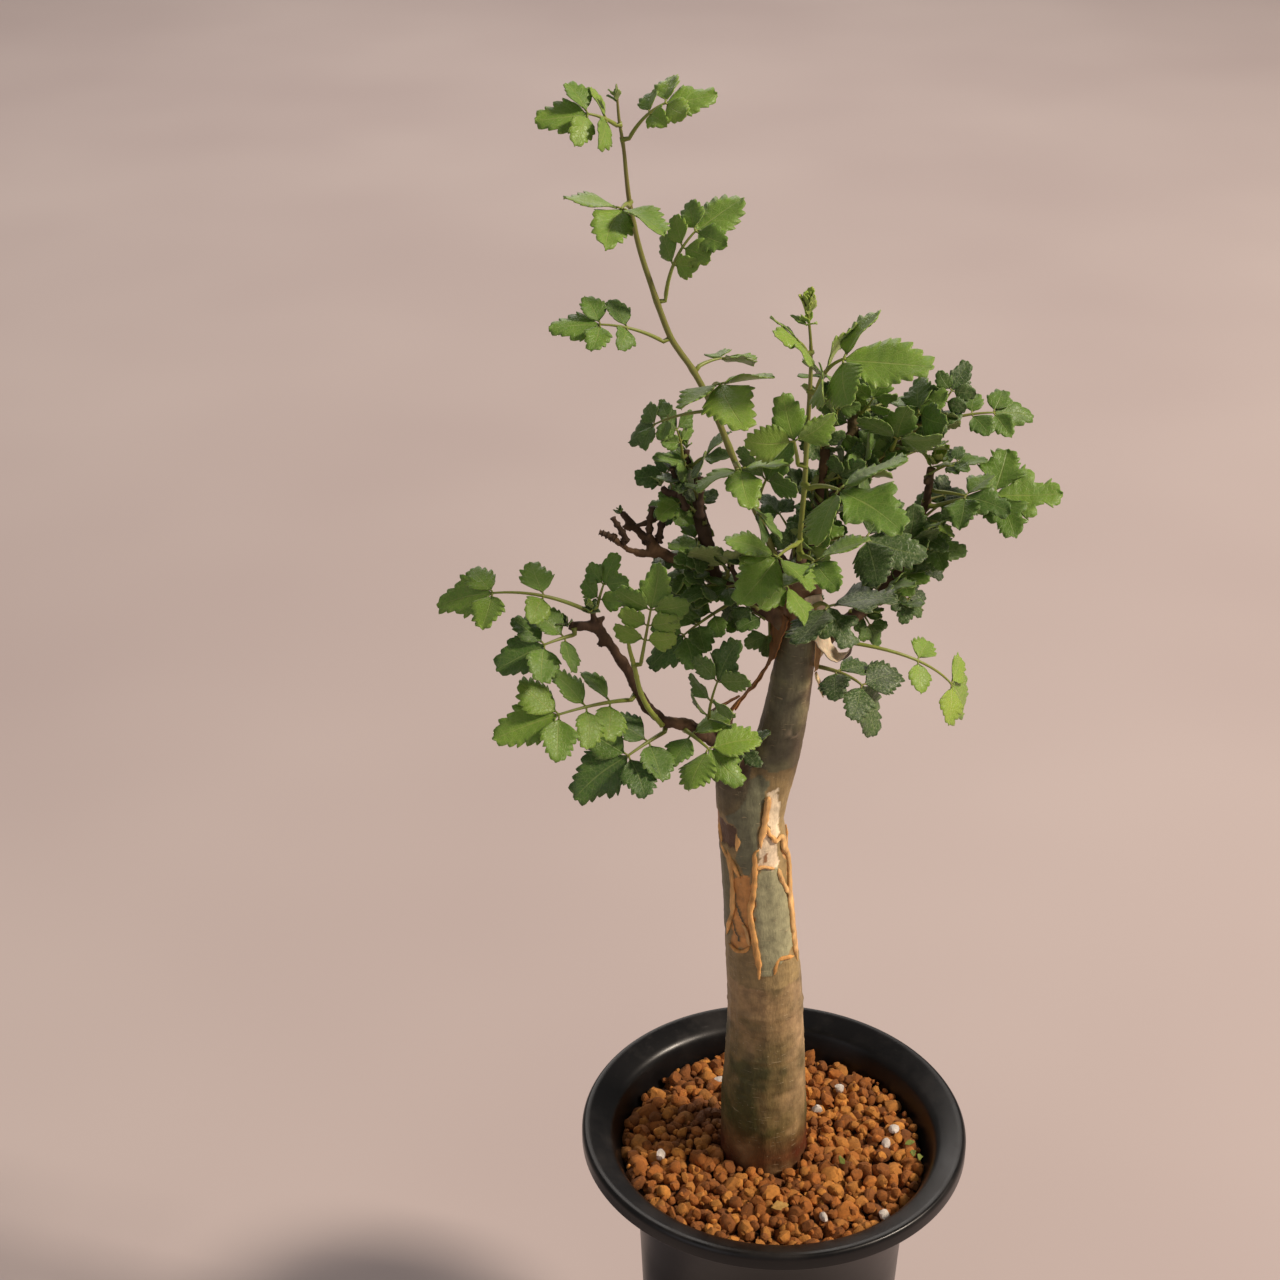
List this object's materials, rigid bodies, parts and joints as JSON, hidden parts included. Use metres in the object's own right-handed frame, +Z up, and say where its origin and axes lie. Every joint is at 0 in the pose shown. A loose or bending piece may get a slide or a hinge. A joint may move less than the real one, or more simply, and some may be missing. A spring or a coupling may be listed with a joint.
{
  "type": "small potted tree",
  "caption": "Small thick-trunked tree with peeling bark and compound toothed leaves, grown in a round flared pot of clay granules.",
  "frame": {"origin": "centre of the pot's underside, on the surface that it stands on", "axes": "+Z up along the pot's axis, -Y towards the side the tree faces, +X to its right"},
  "size_m": [0.1485, 0.105, 0.4092],
  "materials": {
    "moulded_plastic": "satin black injection-moulded plastic, lightly scuffed",
    "clay_granules": "rough matt orange-brown granules, damp in the hollows",
    "smooth_bark": "smooth olive-brown living bark with pale lenticels, tan where it peels",
    "papery_bark": "thin papery tan strips, matt",
    "green_stem": "smooth green young shoots and stalks",
    "leaf_blade": "soft toothed leaflets, mid green with paler veins, young ones yellow-green"
  },
  "bodies": {
    "root": {"pot": "moulded_plastic", "soil": "clay_granules", "trunk_and_limbs": "smooth_bark", "leader_shoot": "green_stem", "front_shoot": "green_stem", "low_shoot": "green_stem", "bark_strip_1": "papery_bark", "bark_strip_2": "papery_bark", "bark_strip_3": "papery_bark", "bark_strip_4": "papery_bark", "bark_curl": "papery_bark", "leader_leaf_1": "leaf_blade", "leader_leaf_2": "leaf_blade", "leader_leaf_3": "leaf_blade", "leader_leaf_4": "leaf_blade", "leader_leaf_5": "leaf_blade", "leader_leaf_6": "leaf_blade", "leader_leaf_7": "leaf_blade", "leader_leaf_8": "leaf_blade", "leader_leaf_9": "leaf_blade", "leader_leaf_10": "leaf_blade", "leader_leaf_11": "leaf_blade", "upper_left_leaf_1": "leaf_blade", "upper_left_leaf_2": "leaf_blade", "upper_left_leaf_3": "leaf_blade", "upper_left_leaf_4": "leaf_blade", "dark_limb_leaf_2": "leaf_blade", "dark_limb_leaf_3": "leaf_blade", "crown_leaf_1": "leaf_blade", "crown_leaf_2": "leaf_blade", "crown_leaf_3": "leaf_blade", "crown_leaf_4": "leaf_blade", "right_leaf_1": "leaf_blade", "right_leaf_2": "leaf_blade", "right_leaf_3": "leaf_blade", "right_leaf_4": "leaf_blade", "right_leaf_5": "leaf_blade", "right_leaf_6": "leaf_blade", "stem_leaf": "leaf_blade", "upper_right_leaf_1": "leaf_blade", "upper_right_leaf_2": "leaf_blade", "upper_right_leaf_3": "leaf_blade", "upper_right_leaf_4": "leaf_blade", "upper_right_leaf_5": "leaf_blade", "middle_leaf_1": "leaf_blade", "middle_leaf_2": "leaf_blade", "middle_leaf_3": "leaf_blade", "front_leaf_1": "leaf_blade", "front_leaf_2": "leaf_blade", "front_leaf_3": "leaf_blade", "front_leaf_4": "leaf_blade", "low_leaf_1": "leaf_blade", "low_leaf_2": "leaf_blade", "low_leaf_3": "leaf_blade", "low_leaf_4": "leaf_blade", "low_leaf_5": "leaf_blade", "low_leaf_6": "leaf_blade", "low_leaf_7": "leaf_blade", "low_leaf_8": "leaf_blade", "low_leaf_9": "leaf_blade"}
  },
  "joints": []
}
